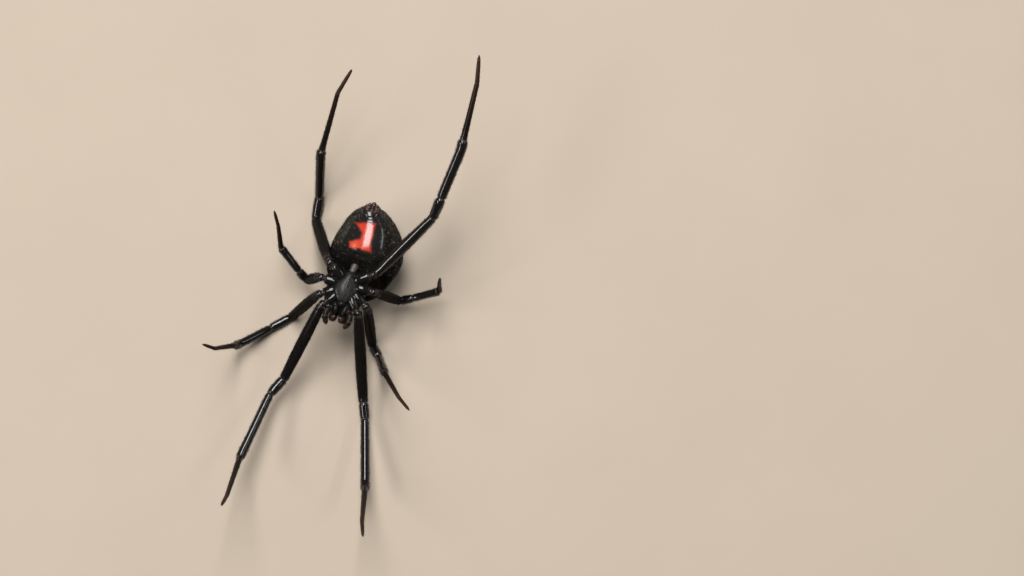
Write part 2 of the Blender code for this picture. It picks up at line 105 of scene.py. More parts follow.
# An ellipsoid with its own Z turned along an axis
def ball(name, centre, radii, sides=24, rings=16, axis=None):
    piece = addBall(name, sides, rings)
    turn = np.eye(3)
    if axis is not None:
        turn = np.array(Vector(axis).to_track_quat("Z", "Y").to_matrix())
    points = (readPoints(piece) * np.asarray(radii)) @ turn.T + np.asarray(centre, float)
    writePoints(piece, toModel(points))
    return piece


# A closed limb: a ring of vertices round each centre, and the ball's poles close its ends. It gives the
# piece and the number of the ring that each vertex belongs to.
def limb(name, centres, radii, sides):
    centres, radii = np.asarray(centres, float), np.asarray(radii, float)
    last = len(centres) - 1
    piece = addBall(name, sides, len(centres) + 1)
    points = readPoints(piece)
    ring = np.rint(np.arccos(np.clip(points[:, 2], -1, 1)) / math.pi * (last + 2)).astype(int)
    angle = np.arctan2(points[:, 1], points[:, 0])
    tangents = unit(np.gradient(centres, axis=0))
    across = np.cross(tangents[0], (0.0, 0.0, 1.0))
    if np.linalg.norm(across) < 0.1:
        across = np.cross(tangents[0], (0.0, 1.0, 0.0))
    rights = []
    for tangent in tangents:
        across = unit(across - tangent * across.dot(tangent))
        rights.append(across)
    rights = np.array(rights)
    ups = np.cross(-tangents, rights)
    at = np.clip(ring - 1, 0, last)
    reach = np.where((ring > 0) & (ring < last + 2), radii[at], 0.0)[:, None]
    swing = np.cos(angle)[:, None] * rights[at] + np.sin(angle)[:, None] * ups[at]
    writePoints(piece, toModel(centres[at] + reach * swing))
    return piece, at


# Points on a smooth curve through knots, and the share of the way along of each
def smoothCurve(knots, count):
    knots = np.asarray(knots, float)
    padded = np.vstack([2 * knots[0] - knots[1], knots, 2 * knots[-1] - knots[-2]])
    shares = np.linspace(0, 1, count)
    spots = shares * (len(knots) - 1)
    first = np.minimum(spots.astype(int), len(knots) - 2)
    t = (spots - first)[:, None]
    a, b, c, d = (padded[first + k] for k in range(4))
    curve = 0.5 * (2 * b + (c - a) * t + (2 * a - 5 * b + 4 * c - d) * t ** 2 + (3 * b - a - 3 * c + d) * t ** 3)
    return curve, shares


# The head and chest. The back shell bulges down, because the spider lies belly up.
carapace = {
    "halfWidth": 2.05, "front": -2.75, "rear": 2.0, "widestAt": 0.35,
    "rim": 5.6, "back": 1.3, "underside": 0.75,
    "headNarrowing": 0.28, "headBluntness": 0.66, "squareness": 0.85, "headSwelling": 0.16,
    "dimpleAt": 0.5, "dimpleDepth": 0.2,
    "furrows": (((0.1, 0.2), (1.15, -1.35), 0.08), ((0.2, 0.5), (1.75, -0.35), 0.04),
                ((0.2, 0.6), (1.85, 0.75), 0.04), ((0.1, 0.7), (1.2, 1.6), 0.04)),
    "inset": 0.02,
}


def backBulge(along):
    return carapace["back"] * (0.9 + carapace["headSwelling"] * (1 - smoothStep(-1.3, 0.3, along)))


def distanceToLine(x, y, start, end):
    ax, ay = start
    bx, by = end[0] - ax, end[1] - ay
    t = np.clip(((x - ax) * bx + (y - ay) * by) / (bx * bx + by * by), 0, 1)
    return np.hypot(x - ax - bx * t, y - ay - by * t)


def makeCarapace():
    c = carapace
    shell = addBall("spiderSkin", 112, 72)
    x, y, z = readPoints(shell).T
    front, rear = c["widestAt"] - c["front"], c["rear"] - c["widestAt"]
    along = c["widestAt"] + np.where(y > 0, y * rear, -np.abs(y) ** c["headBluntness"] * front)
    across = x * c["halfWidth"] * (1 - c["headNarrowing"] * (1 - smoothStep(-2.2, 0.6, along)))
    dimple = c["dimpleDepth"] * np.exp(-((along - c["dimpleAt"]) / 0.3) ** 2 - (across / 0.75) ** 2)
    for start, end, depth in c["furrows"]:
        dimple += depth * np.exp(-(distanceToLine(np.abs(across), along, start, end) / 0.11) ** 2)
    bulge = np.where(z < 0, backBulge(along) - dimple * (np.abs(z) > 0.25), c["underside"])
    height = c["rim"] + np.sign(z) * np.abs(z) ** c["squareness"] * bulge
    lip = 0.035 * np.exp(-(z / 0.06) ** 2)  # the shell's thin turned-out edge
    across, along = across * (1 + lip), along + y * lip * 1.5
    writePoints(shell, toModel(np.column_stack((across, along, height))))
    noteFlesh(shell, "cuticle")
    return shell


# The place on the front of the head at a distance from the middle and a height
def faceAt(across, height):
    c = carapace
    down = ((c["rim"] - height) / float(backBulge(c["front"]))) ** (1 / c["squareness"])
    aside = across / (c["halfWidth"] * (1 - c["headNarrowing"]))
    forward = math.sqrt(1 - down * down - aside * aside) ** c["headBluntness"]
    return np.array((across, c["widestAt"] - forward * (c["widestAt"] - c["front"]), height))


sternum = {"top": 6.92, "rise": 0.44, "front": -1.5, "rear": 1.75, "halfWidth": 1.28, "taper": 0.55}


def makeSternum():
    s = sternum
    plate = addBall("sternum", 56, 40)
    x, y, z = readPoints(plate).T
    across = x * s["halfWidth"] * (1 - s["taper"] * smoothStep(-0.2, 1.0, y))
    along = (s["front"] + s["rear"]) / 2 + y * (s["rear"] - s["front"]) / 2
    height = s["top"] + (z - 1) * s["rise"]
    height = height + 0.03 * np.exp(-(across / 0.12) ** 2) * np.clip(z, 0, 1) * (1 - smoothStep(0.2, 0.9, np.abs(y)))
    writePoints(plate, toModel(np.column_stack((across, along, height))))
    noteFlesh(plate, "sternum")


# Where each leg's first joint leaves the chest and where it ends, on the animal's right
seats = {1: (0.85, -0.95, 6.25), 2: (1.15, -0.45, 6.25), 3: (1.2, 0.4, 6.25), 4: (0.85, 1.15, 6.3)}
hips = {1: (1.55, -1.8, 6.25), 2: (2.08, -1.0, 6.2), 3: (2.35, 0.44, 6.25), 4: (1.95, 1.88, 6.5)}
sides = ("left", "right")

legs = {
    "unit": 9.4,
    "lengths": {1: (0.94, 0.22, 0.82, 1.02, 0.34), 2: (0.715, 0.20, 0.48, 0.62, 0.26),
                3: (0.53, 0.16, 0.32, 0.42, 0.22), 4: (0.89, 0.22, 0.58, 0.76, 0.29)},
    "girths": {1: 1.0, 2: 0.92, 3: 0.9, 4: 0.98},
    "coxaRadius": 0.56, "trochanter": 0.6, "gap": 0.25, "kneeArc": 0.56,
    "sides": 22,
    # heading in the plan and climb towards the belly side of each length, in degrees
    "poses": {
        (1, "left"): ((-103.5, -28), (-114.5, 9), (-97.5, 15), (-85.5, 57.5), (-91.5, 62.5)),
        (1, "right"): ((-71, -33), (-68, -8), (-73.5, 16), (-76, 60), (-70, 54.5)),
        (2, "left"): ((-139.5, -63), (-135, 3), (-133, 19.5), (-134, 64.5), (-166, 63)),
        (2, "right"): ((-65.5, -65.5), (-46.5, 38.5), (-58.5, 58.5), (-49.5, 52), (-39.5, 41)),
        (3, "left"): ((175.5, -73.5), (151.5, 43.5), (145, 20), (113.5, 66.5), (123, 53)),
        (3, "right"): ((14, -61), (23.5, 29.5), (26, 27.5), (70, 89), (85, 84.5)),
        (4, "left"): ((121, -48.5), (96, 10.5), (103, 44), (88, 36.5), (73, 20)),
        (4, "right"): ((58, 22), (80, 42), (83, 11), (91.5, 23.5), (101.5, 13.5)),
    },
    # length's number plus the share passed, and the front leg's radius there
    "profile": ((-1.3, 0.30), (-1.0, 0.36), (-0.85, 0.43), (-0.2, 0.43), (0.0, 0.44), (0.15, 0.515), (0.4, 0.565),
                (0.7, 0.545), (0.92, 0.475), (1.0, 0.465), (1.5, 0.49), (1.85, 0.455), (2.0, 0.385), (2.1, 0.42),
                (2.45, 0.42), (2.8, 0.44), (2.92, 0.462), (2.965, 0.45), (3.0, 0.375), (3.03, 0.315), (3.1, 0.28),
                (3.5, 0.245), (3.9, 0.22), (4.0, 0.215), (4.03, 0.20), (4.3, 0.19), (4.6, 0.178), (4.85, 0.155),
                (4.96, 0.11), (5.0, 0.06)),
    "stoutness": {(4, "left"): 0.08, (4, "right"): 0.17},  # how much thicker the leg is beyond its knee
    # how far along the leg in mm a joint lies from its corner
    "slides": {(1, "right"): {1: 0.65, 2: 0.25, 3: 0.55}, (2, "left"): {2: 0.5, 3: 0.7}, (4, "left"): {2: 0.4, 3: 0.5},
               (4, "right"): {2: 0.3, 3: 1.15}},
    # how deep and how wide in mm the ring at each joint is pinched
    "pinches": {-1: (0.10, 0.09), 0: (0.13, 0.08), 1: (0.15, 0.10), 2: (0.15, 0.09), 3: (0.10, 0.10), 4: (0.10, 0.07)},
}


def heading(turn, climb):
    h, c = math.radians(turn), math.radians(climb)
    return np.array((math.cos(h) * math.cos(c), math.sin(h) * math.cos(c), math.sin(c)))


# A path through corners with each bend turned on an arc, and the corner's number plus share at each point
def bentPath(corners, arc):
    gaps = np.diff(corners, axis=0)
    lengths = np.linalg.norm(gaps, axis=1)
    ways = unit(gaps)
    turns = [math.acos(float(np.clip(a.dot(b), -1, 1))) for a, b in zip(ways, ways[1:])]
    backs = [0.0]
    for turn, before, after in zip(turns, lengths, lengths[1:]):
        backs.append(min(max(0.2, arc * math.tan(turn / 2)), 0.46 * before, 0.46 * after))
    backs.append(0.0)
    points, places = [], []
    for index, (start, way, length) in enumerate(zip(corners, ways, lengths)):
        for at in (backs[index], length - backs[index + 1]):
            points.append(start + way * at)
            places.append(index + at / length)
        if index == len(turns) or turns[index] < 0.02:
            continue
        turn, back, corner = turns[index], backs[index + 1], corners[index + 1]
        radius = back / math.tan(turn / 2)
        axis = unit(np.cross(way, ways[index + 1]))
        first = corner - way * back
        centre = first + np.cross(axis, way) * radius
        steps = max(3, math.ceil(math.degrees(turn) / 6))
        for step in range(1, steps):
            share = step / steps
            arm = Matrix.Rotation(turn * share, 3, Vector(axis)) @ Vector(first - centre)
            points.append(centre + np.array(arm))
            past = 2 * share - 1
            places.append(index + 1 + past * back / (length if past < 0 else lengths[index + 1]))
    return np.array(points), np.array(places)


legTips = {}


def makeLeg(number, side):
    seat, hip = sideOf(seats[number], side), sideOf(hips[number], side)
    outward = unit(hip - seat)
    girth = legs["girths"][number]
    corners = [hip - outward * 0.25, hip + outward * legs["gap"] / 2, hip + outward * legs["trochanter"]]
    for share, (turn, climb) in zip(legs["lengths"][number], legs["poses"][number, side]):
        corners.append(corners[-1] + heading(turn, climb) * share * legs["unit"])
    points, places = bentPath(np.array(corners), legs["kneeArc"] * girth)
    places = places - 2
    along = np.concatenate(([0], np.cumsum(np.linalg.norm(np.diff(points, axis=0), axis=1))))
    slides = legs["slides"].get((number, side), {})
    joints = {joint: float(np.interp(joint, places, along)) + slides.get(joint, 0.0) for joint in legs["pinches"]}
    stations, at = [], 0.0
    while at < along[-1] - 0.02:
        stations.append(at)
        nearest = min(abs(at - spot) for spot in joints.values())
        at += 0.06 if nearest < 0.32 or along[-1] - at < 0.3 else 0.2 if nearest < 0.6 else 0.42
    stations = np.array(stations + [along[-1]])
    centres = np.column_stack([np.interp(stations, along, points[:, k]) for k in range(3)])
    slid = np.interp(stations, (0, *joints.values(), along[-1]), (0, *(slides.get(joint, 0.0) for joint in joints), 0))
    place = np.interp(stations - slid, along, places)
    radii = np.interp(place, *np.array(legs["profile"]).T) * girth
    radii = radii * (1 + legs["stoutness"].get((number, side), 0.0) * smoothStep(1.0, 2.0, place))
    soft = np.zeros(len(stations))
    for joint, (depth, width) in legs["pinches"].items():
        away = np.abs(stations - joints[joint])
        pinch = np.exp(-(away / (width * (0.5 + 0.5 * girth))) ** 2)
        rim = np.exp(-(((away - 0.24 * girth) / (0.09 * girth)) ** 2))
        radii = radii * (1 - depth * pinch + 0.035 * rim)
        soft = np.maximum(soft, np.exp(-(away / (width * 0.9)) ** 2))
    leg, ring = limb(f"leg{number}{side}", centres, radii, legs["sides"])
    flow = unit(np.gradient(centres, axis=0))
    noteFlesh(leg, "cuticle", flow[ring], soft[ring], place[ring])
    legTips[number, side] = (centres, place)
    coxaKnots = [seat - outward * 0.5, seat + outward * 0.2, hip]
    curve, share = smoothCurve(coxaKnots, 22)
    span = np.array((0, 0.2, 0.4, 0.62, 0.82, 0.93, 0.975, 1.0))
    swell = np.interp(share, span, (0.5, 0.86, 1.0, 1.02, 0.97, 0.92, 0.84, 0.68))
    coxa, ring = limb(f"coxa{number}{side}", curve, swell * legs["coxaRadius"] * (0.5 + 0.5 * girth), 26)
    noteFlesh(coxa, "cuticle", outward, np.interp(share, (0.93, 1.0), (0, 0.8))[ring], -1.5)


mouth = {
    "lip": ((0, -1.62, 6.55), (0.42, 0.36, 0.3)),
    "plate": ((0.52, -2.12, 6.42), (0.36, 0.34, 0.72), (-0.25, -1.0, 0.1)),
    "jaw": ((0.50, -2.0, 5.3), (0.53, -2.45, 5.55), (0.54, -2.9, 5.92), (0.49, -3.16, 6.45), (0.42, -3.26, 6.86)),
    "jawRadii": (0.36, 0.41, 0.46, 0.42, 0.27),
    "fang": ((0.47, -3.2, 6.72), (0.45, -3.27, 6.9), (0.38, -3.18, 7.06), (0.24, -3.04, 7.12)),
    "fangRadii": (0.15, 0.12, 0.085, 0.02),
    "palp": ((0.7, -1.95, 6.6), (0.85, -2.2, 6.72), (1.14, -2.6, 7.0), (1.24, -3.0, 7.12),
             (1.18, -3.45, 7.06), (1.04, -3.76, 6.8), (0.92, -3.92, 6.48)),
    "palpRadii": (0.22, 0.27, 0.315, 0.315, 0.315, 0.275, 0.12),
    "palpJoints": (0.24, 0.42, 0.58, 0.74),
}
fangs, eyes, claws = [], [], []


def makeMouth():
    m = mouth
    noteFlesh(ball("lip", *m["lip"], 36, 24), "mouth", (0, -1, 0), 0.0, -9.0)
    for side in sides:
        centre, radii, axis = m["plate"]
        plate = ball("plate", sideOf(centre, side), radii, 32, 28, sideOf(axis, side))
        noteFlesh(plate, "mouth", (0, -1, 0), 0.0, -7.6)
        curve, share = smoothCurve([sideOf(knot, side) for knot in m["jaw"]], 34)
        radii = np.interp(share, np.linspace(0, 1, len(m["jawRadii"])), m["jawRadii"])
        radii = radii * np.interp(share, (0.94, 1.0), (1.0, 0.6))
        jaw, ring = limb("jaw", curve, radii, 28)
        noteFlesh(jaw, "mouth", unit(np.gradient(curve, axis=0))[ring], 0.0, 5 * share[ring] - 10)
        curve, share = smoothCurve([sideOf(knot, side) for knot in m["fang"]], 18)
        fang, ring = limb("fang", curve, np.interp(share, np.linspace(0, 1, 4), m["fangRadii"]), 14)
        fangs.append(fang)
        curve, share = smoothCurve([sideOf(knot, side) for knot in m["palp"]], 76)
        radii = np.interp(share, np.linspace(0, 1, len(m["palpRadii"])), m["palpRadii"])
        soft = np.zeros(len(share))
        for joint in m["palpJoints"]:
            pinch = np.exp(-(((share - joint) / 0.02) ** 2))
            radii = radii * (1 - 0.17 * pinch)
            soft = np.maximum(soft, pinch)
        palp, ring = limb("palp", curve, radii, 20)
        noteFlesh(palp, "mouth", unit(np.gradient(curve, axis=0))[ring], soft[ring], 5 * share[ring] - 10)
        tip = curve[-1] - unit(curve[-1] - curve[-3]) * 0.02
        hook = smoothCurve([tip, tip + unit(curve[-1] - curve[-3]) * 0.09, tip + np.array((0, 0.04, -0.13))], 8)[0]
        claws.append(limb("palpClaw", hook, np.linspace(0.035, 0.006, 8), 8)[0])


eyeRows = {"front": ((0.2, 0.62), 4.95, 0.13), "rear": ((0.25, 0.74), 4.6, 0.12)}


def makeEyes():
    for distances, height, radius in eyeRows.values():
        for distance in distances:
            for side in sides:
                place = sideOf(faceAt(distance, height), side)
                out = unit(place - np.array((0, -0.9, 5.2)))
                socket = ball("socket", place - out * 0.03, (radius * 1.3, radius * 1.3, radius * 0.75), 24, 14, out)
                noteFlesh(socket, "cuticle")
                eyes.append(ball("eye", place + out * 0.01, (radius, radius, radius * 0.95), 28, 18, out))


abdomen = {
    "widestAt": 3.35, "frontLength": 3.65, "rearLength": 5.75, "halfWidth": 3.74,
    "leftExtra": 0.1, "frontFlatness": 0.2, "flatFrom": 1.5, "flatTo": 5.0,
    "sideShift": 0.9, "tailShift": 0.5, "axisFront": 2.4, "axisTail": 4.65,
    "belly": 3.92, "back": 3.42, "hollow": 0.68, "hollowFrom": 1.2, "hollowTo": 4.1,
    "segments": 168, "rings": 124, "inset": 0.02,
    "furrowAt": 3.5, "middle": 0.36,
}
spinners = {"centre": (0.31, 8.27, 6.4), "axis": (0.02, 0.54, 0.84)}


def abdomenPoints(along, around):
    a = abdomen
    reach = np.where(along < math.pi / 2, a["frontLength"], a["rearLength"])
    y = a["widestAt"] - np.cos(along) * reach
    share = (y - a["widestAt"] + a["frontLength"]) / (a["frontLength"] + a["rearLength"])
    axis = a["axisFront"] + (a["axisTail"] - a["axisFront"]) * share
    belly = a["belly"] * (1 - a["hollow"] * (1 - smoothStep(a["hollowFrom"], a["hollowTo"], y)))
    height = np.where(np.sin(around) > 0, belly, a["back"])
    shift = a["sideShift"] - a["tailShift"] * smoothStep(6.0, 9.4, y)
    drawnIn = a["halfWidth"] * (1 - a["frontFlatness"] * (1 - smoothStep(a["flatFrom"], a["flatTo"], y)))
    halfWidth = np.where(np.cos(around) > 0, drawnIn, a["halfWidth"] + a["leftExtra"])
    x = shift + np.sin(along) * np.cos(around) * halfWidth
    return np.column_stack((x, y, axis + np.sin(along) * np.sin(around) * height))


def hump(x, y, atX, atY, wide, long):
    return np.exp(-(((x - atX) / wide) ** 2) - ((y - atY) / long) ** 2)


# How far the abdomen's surface stands out of its plain egg, in mm
def abdomenRelief(points, belly):
    a = abdomen
    x, y, z = points.T
    aside = x - a["middle"]
    furrow = np.exp(-(((y - a["furrowAt"] - 0.10 * aside ** 2) / 0.085) ** 2)) * (1 - smoothStep(1.3, 1.9, np.abs(aside)))
    relief = -0.09 * furrow
    for way in (-1, 1):
        relief += 0.07 * hump(x, y, a["middle"] + way * 1.05, a["furrowAt"] - 0.55, 0.62, 0.42)  # lung covers
        relief -= 0.05 * hump(x, y, a["middle"] + way * 1.45, 4.9, 0.14, 0.10)
        relief -= 0.05 * hump(x, y, a["middle"] + way * 1.2, 6.3, 0.12, 0.09)
    relief += 0.16 * hump(x, y, a["middle"], a["furrowAt"] - 0.22, 0.27, 0.17)  # the plate between the lungs
    relief -= 0.10 * hump(x, y, a["middle"], a["furrowAt"] - 0.14, 0.11, 0.07)
    onBack = np.zeros(len(x))
    for way in (-1, 1):
        for atY, size in ((1.9, 0.17), (3.6, 0.2), (5.3, 0.15)):
            onBack -= 0.07 * hump(x, y, a["sideShift"] + way * 0.85, atY, size, size)
    fromTail = np.linalg.norm(points - np.array(spinners["centre"]), axis=1)
    folds = 0.10 * np.exp(-((fromTail / 1.5) ** 4))
    for ring, depth in ((1.12, 0.06), (1.42, 0.04), (1.75, 0.025)):
        folds -= depth * np.exp(-(((fromTail - ring) / 0.07) ** 2))
    return np.where(belly, relief, onBack) + folds


def makeAbdomen():
    egg = addBall("abdomen", abdomen["segments"], abdomen["rings"])
    x, y, z = readPoints(egg).T
    along, around = np.arccos(np.clip(-z, -1, 1)), np.arctan2(y, x)
    points = abdomenPoints(along, around)
    writePoints(egg, toModel(points))
    bpy.ops.object.mode_set(mode="EDIT")
    bpy.ops.mesh.select_all(action="SELECT")
    bpy.ops.mesh.normals_make_consistent(inside=False)
    bpy.ops.object.mode_set(mode="OBJECT")
    normals = np.empty(len(points) * 3)
    egg.data.vertices.foreach_get("normal", normals)
    normals = normals.reshape(-1, 3)
    relief = abdomenRelief(points, np.sin(around) > 0) - abdomen["inset"]
    writePoints(egg, toModel(points + normals * relief[:, None]))
    noteFlesh(egg, "abdomen")


def makeWaist():
    curve, share = smoothCurve(((0.0, 1.2, 5.5), (0.05, 2.0, 5.52), (0.15, 2.6, 5.46), (0.2, 3.4, 5.3)), 40)
    radii = 0.34 + 0.02 * np.cos(share * 60) - 0.03 * np.exp(-(((share - 0.45) / 0.1) ** 2))
    noteFlesh(limb("waist", curve, radii, 28)[0], "waist")


def makeSpinners():
    centre, axis = np.array(spinners["centre"]), unit(spinners["axis"])
    out = np.array((1.0, 0.0, 0.0))
    up = unit(np.cross(axis, out))
    collar = ball("collar", centre, (1.0, 1.0, 0.46), 56, 32, axis)
    noteFlesh(collar, "abdomen", axis)
    noteFlesh(ball("tailKnob", centre + axis * 0.2 + up * 0.72, (0.27, 0.27, 0.37), 28, 20, axis), "spinneret", axis)
    for index in range(6):
        angle = math.radians(30 + 60 * index)
        lean = out * math.cos(angle) + up * math.sin(angle)
        middle = index in (1, 4)
        root, reach = centre + axis * 0.2 + lean * (0.3 if middle else 0.42), 0.5 if middle else 0.62
        knots = (root, root + axis * reach * 0.55 + lean * 0.05, root + axis * reach - lean * 0.06)
        curve, share = smoothCurve(knots, 30)
        radii = np.interp(share, (0, 0.5, 0.56, 0.62, 0.9, 1), (0.26, 0.245, 0.19, 0.205, 0.15, 0.07))
        cone, ring = limb("spinner", curve, radii * (0.78 if middle else 1.0), 20)
        noteFlesh(cone, "spinneret", axis, np.exp(-(((share - 0.56) / 0.04) ** 2))[ring], share[ring])


skin = makeCarapace()
makeSternum()
makeMouth()
makeEyes()
for number in hips:
    for side in sides:
        makeLeg(number, side)
makeWaist()
makeAbdomen()
makeSpinners()
print("flesh:", len(flesh), "pieces")


def joinInto(pieces, name):
    bpy.ops.object.select_all(action="DESELECT")
    for piece in pieces:
        piece.select_set(True)
    bpy.context.view_layer.objects.active = pieces[0]
    bpy.ops.object.join()
    pieces[0].name = name
    return pieces[0]


# One closed skin out of all the overlapping pieces
def fuse(base, others):
    group = bpy.data.collections.new("toFuse")
    bpy.context.scene.collection.children.link(group)
    for other in others:
        group.objects.link(other)
    bpy.ops.object.select_all(action="DESELECT")
    bpy.context.view_layer.objects.active = base
    boolean = base.modifiers.new("fuse", "BOOLEAN")
    boolean.operation, boolean.operand_type, boolean.collection = "UNION", "COLLECTION", group
    boolean.solver = "MANIFOLD"
    bpy.ops.object.modifier_apply(modifier=boolean.name)
    for other in others:
        bpy.data.objects.remove(other, do_unlink=True)
    bpy.data.collections.remove(group)


fuse(skin, flesh[1:])
points = readPoints(skin)
points[:, 2] = np.maximum(points[:, 2], 0.0)
writePoints(skin, points)
print("skin fused:", len(skin.data.polygons), "faces")

# Each part of the skin is known again by the nearest vertex of the flesh that it was fused from
notes = {key: np.concatenate(values) for key, values in notes.items()}
tree = KDTree(len(notes["point"]))
for index, point in enumerate(notes["point"]):
    tree.insert(point, index)
tree.balance()


def nearestNotes(spots):
    return np.array([tree.find(spot)[1] for spot in spots])


def addValues(piece, name, values):
    layer = piece.data.attributes.new(name, "FLOAT", "POINT")
    layer.data.foreach_set("value", np.asarray(values, np.float32))


bpy.ops.object.select_all(action="DESELECT")
skin.select_set(True)
bpy.context.view_layer.objects.active = skin
bpy.ops.object.mode_set(mode="EDIT")
bpy.ops.mesh.select_all(action="SELECT")
bpy.ops.mesh.quads_convert_to_tris(quad_method="BEAUTY", ngon_method="BEAUTY")
bpy.ops.object.mode_set(mode="OBJECT")
near = nearestNotes(readPoints(skin))
addValues(skin, "place", notes["place"][near])
addValues(skin, "membrane", notes["membrane"][near])
bpy.ops.object.shade_smooth_by_angle(angle=math.radians(38))
bpy.ops.object.mode_set(mode="EDIT")
bpy.ops.mesh.select_all(action="SELECT")
bpy.ops.uv.smart_project(angle_limit=1.15, island_margin=0.004)
bpy.ops.object.mode_set(mode="OBJECT")
skin.data.uv_layers.active.name = "OFBake"
print("skin unwrapped")


# Material arithmetic: a socket that adds, multiplies and the like as a number does
class Wire:
    def __init__(self, coat, socket):
        self.coat, self.socket = coat, socket

    def maths(self, operation, *others):
        return self.coat.node("ShaderNodeMath", {"operation": operation}, dict(enumerate((self, *others))))

    def __add__(self, other):
        return self.maths("ADD", other)

    def __sub__(self, other):
        return self.maths("SUBTRACT", other)

    def __rsub__(self, other):
        return (self * -1.0) + other

    def __mul__(self, other):
        return self.maths("MULTIPLY", other)

    __radd__, __rmul__ = __add__, __mul__

    def least(self, other):
        return self.maths("MINIMUM", other)

    def most(self, other):
        return self.maths("MAXIMUM", other)


class Coat:
    def __init__(self, name, **values):
        self.material = bpy.data.materials.new(name)
        self.material.use_nodes = True
        self.tree = self.material.node_tree
        self.surface = self.tree.nodes["Principled BSDF"]
        for key, value in values.items():
            self.surface.inputs[key.replace("_", " ")].default_value = value
        self.where = self.node("ShaderNodeTexCoord", {}, {}, "Object")
        split = self.node("ShaderNodeSeparateXYZ", {}, {0: self.where}, 0)
        outputs = split.socket.node.outputs
        self.x, self.y, self.z = (Wire(self, outputs[k]) * 1000 + float(modelOrigin[k]) for k in range(3))

    def node(self, kind, settings, values, output=0):
        made = self.tree.nodes.new(kind)
        for key, value in settings.items():
            setattr(made, key, value)
        for key, value in values.items():
            self.put(made.inputs[key], value)
        return Wire(self, made.outputs[output])

    def put(self, socket, value):
        if isinstance(value, Wire):
            self.tree.links.new(value.socket, socket)
        else:
            socket.default_value = value

    def noise(self, scale, detail=2.0):
        return self.node("ShaderNodeTexNoise", {}, {"Vector": self.where, "Scale": scale, "Detail": detail}, "Fac")

    def step(self, low, high, value):
        settings = {"interpolation_type": "SMOOTHSTEP"}
        return self.node("ShaderNodeMapRange", settings, {"Value": value, "From Min": low, "From Max": high})

    def mixed(self, share, first, second):
        first, second = (c if isinstance(c, Wire) else (*c, 1.0) for c in (first, second))
        return self.node("ShaderNodeMix", {"data_type": "RGBA"}, {0: share, 6: first, 7: second}, 2)

    def attribute(self, name):
        return self.node("ShaderNodeAttribute", {"attribute_name": name}, {}, "Fac")

    def finish(self, colour, roughness, height, distance):
        self.put(self.surface.inputs["Base Color"], colour)
        self.put(self.surface.inputs["Roughness"], roughness)
        bump = {"Height": height, "Distance": distance, "Strength": 1.0}
        self.put(self.surface.inputs["Normal"], self.node("ShaderNodeBump", {}, bump))
        return self.material


# Which side of the line from one point to another, in mm
def sideOfLine(coat, start, end):
    along = unit(np.subtract(end, start))
    reach = float(start[0] * along[1] - start[1] * along[0])
    return coat.x * float(-along[1]) + coat.y * float(along[0]) + reach


hourglass = {
    "rear": ((1.00, 6.98), (-0.88, 6.64), (-0.02, 5.88), (1.04, 5.35)),
    "middle": ((0.0, 5.95), (0.06, 5.0), (1.16, 5.0), (1.04, 5.95)),
    "front": ((-0.95, 4.60), (-0.82, 4.10), (1.38, 4.10), (1.04, 5.62)),
    "notch": (0.19, 3.90, 0.36),
    "red": (0.42, 0.036, 0.018), "orange": (0.50, 0.068, 0.022),
    "wander": 0.5, "softness": 0.19,
}


def hourglassOn(coat):
    wander = (coat.noise(900, 3) - 0.5) * hourglass["wander"]
    parts = []
    for corners in (hourglass["rear"], hourglass["middle"], hourglass["front"]):
        inside = None
        for start, end in zip(corners, corners[1:] + corners[:1]):
            edge = sideOfLine(coat, start, end)
            inside = edge if inside is None else inside.least(edge)
        parts.append(inside)
    soft = hourglass["softness"]
    whole = parts[0].most(parts[1]).most(parts[2])
    mask = coat.step(-soft, soft, whole + wander) * coat.step(5.0, 5.4, coat.z)
    notchX, notchY, notchSize = hourglass["notch"]
    aside, ahead = coat.x - notchX, coat.y - notchY
    mask = mask * coat.step(0.3, 1.3, (aside * aside + ahead * ahead) * (1 / notchSize ** 2) + wander)
    warm = coat.step(5.2, 3.9, coat.y) * coat.step(0.9, -0.4, coat.x)
    return mask, coat.mixed(warm, hourglass["red"], hourglass["orange"])


def cuticleFinish():
    coat = Coat("cuticle", Coat_Roughness=0.05, Specular_IOR_Level=0.0)
    place, soft = coat.attribute("place"), coat.attribute("membrane")
    fine, middling, broad = coat.noise(11000, 3), coat.noise(3400, 2), coat.noise(1300, 2)
    brown = coat.step(2.7, 4.9, place) * (0.55 + 0.6 * broad)
    colour = coat.mixed(brown, (0.0055, 0.0050, 0.0048), (0.036, 0.0175, 0.0090))
    femur = coat.step(-0.1, 0.15, place) * coat.step(1.05, 0.9, place)
    foot = coat.step(2.95, 3.2, place)
    colour = coat.mixed(femur * 0.5, colour, (0.0085, 0.0068, 0.0056))
    colour = coat.mixed(soft * 0.5, colour, (0.060, 0.042, 0.032))
    roughness = 0.26 + 0.10 * fine + 0.10 * femur + 0.20 * soft
    chest = coat.step(-0.9, -1.1, place)
    dull = femur * coat.step(7.2, 6.0, coat.z) * 0.85 + foot * 0.8 + chest * 0.35
    coat.put(coat.surface.inputs["Coat Weight"], 1.0 - dull)
    height = fine * (1.0 + 3.0 * femur) + broad * 1.5 + middling * (1.2 + 2.8 * chest)
    return coat.finish(colour, roughness, height, 0.000007)


